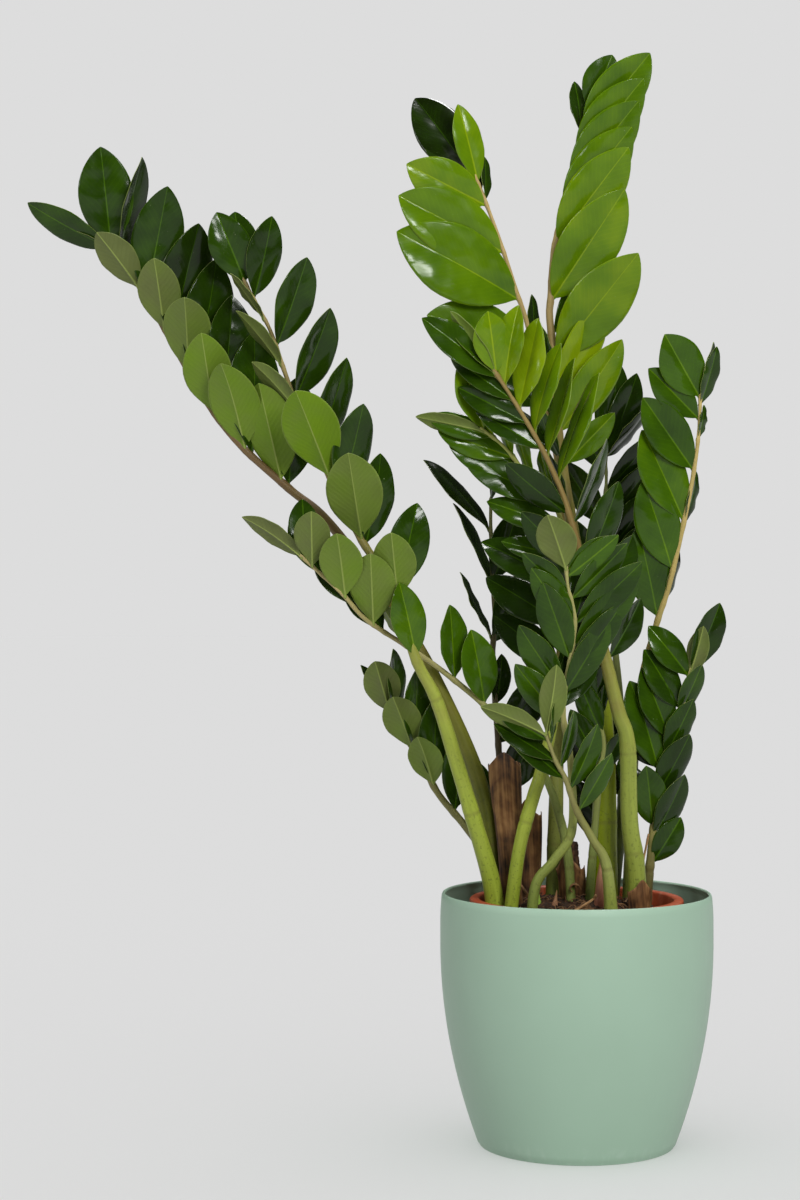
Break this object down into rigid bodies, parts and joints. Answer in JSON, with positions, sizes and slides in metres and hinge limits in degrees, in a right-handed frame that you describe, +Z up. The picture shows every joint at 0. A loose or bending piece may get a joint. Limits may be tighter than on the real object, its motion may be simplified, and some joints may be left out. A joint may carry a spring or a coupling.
{
  "type": "potted zz plant",
  "caption": "Tall zz plant with long arching leaves of paired glossy leaflets, in a terracotta-coloured growing pot inside a tapered sage green cover pot.",
  "frame": {"origin": "the middle of the cover pot's flat foot, on the surface that the pot stands on", "axes": "+Z up; +X to the right and +Y away when the plant is seen from its front; its tallest leaves lean towards -X"},
  "size_m": [0.641, 0.25, 1.0076],
  "materials": {
    "cover_pot_plastic": "satin moulded polypropylene, sage green",
    "growing_pot_plastic": "matt moulded polypropylene, terracotta colour",
    "potting_mix": "loose damp peat with fibres",
    "frond_leaf": "waxy leaflets, glossy above and matt below, on fleshy stalks",
    "dry_sheath": "dry papery brown sheath",
    "young_shoot": "smooth pink-brown young shoot",
    "dry_stalk": "dry tan stalk"
  },
  "bodies": {
    "root": {"cover_pot": "cover_pot_plastic", "growing_pot": "growing_pot_plastic", "potting_mix": "potting_mix", "frond_far_left": "frond_leaf", "frond_left_front": "frond_leaf", "frond_left_low": "frond_leaf", "frond_left_back_low": "frond_leaf", "frond_left_back": "frond_leaf", "frond_tall_left": "frond_leaf", "frond_tall_right": "frond_leaf", "frond_mid_right": "frond_leaf", "frond_mid_left": "frond_leaf", "frond_back_right": "frond_leaf", "frond_right": "frond_leaf", "frond_right_low": "frond_leaf", "frond_centre": "frond_leaf", "frond_centre_low": "frond_leaf", "frond_centre_inner": "frond_leaf", "young_shoot_left": "young_shoot", "young_shoot_right": "young_shoot", "young_shoot_green": "frond_leaf", "dried_stump": "dry_sheath", "dry_stalk_long": "dry_stalk", "dry_stalk_left": "dry_stalk", "dry_stalk_front": "dry_stalk", "sheath_left": "dry_sheath", "sheath_back": "dry_sheath", "sheath_middle": "dry_sheath", "sheath_right": "dry_sheath"}
  },
  "joints": []
}
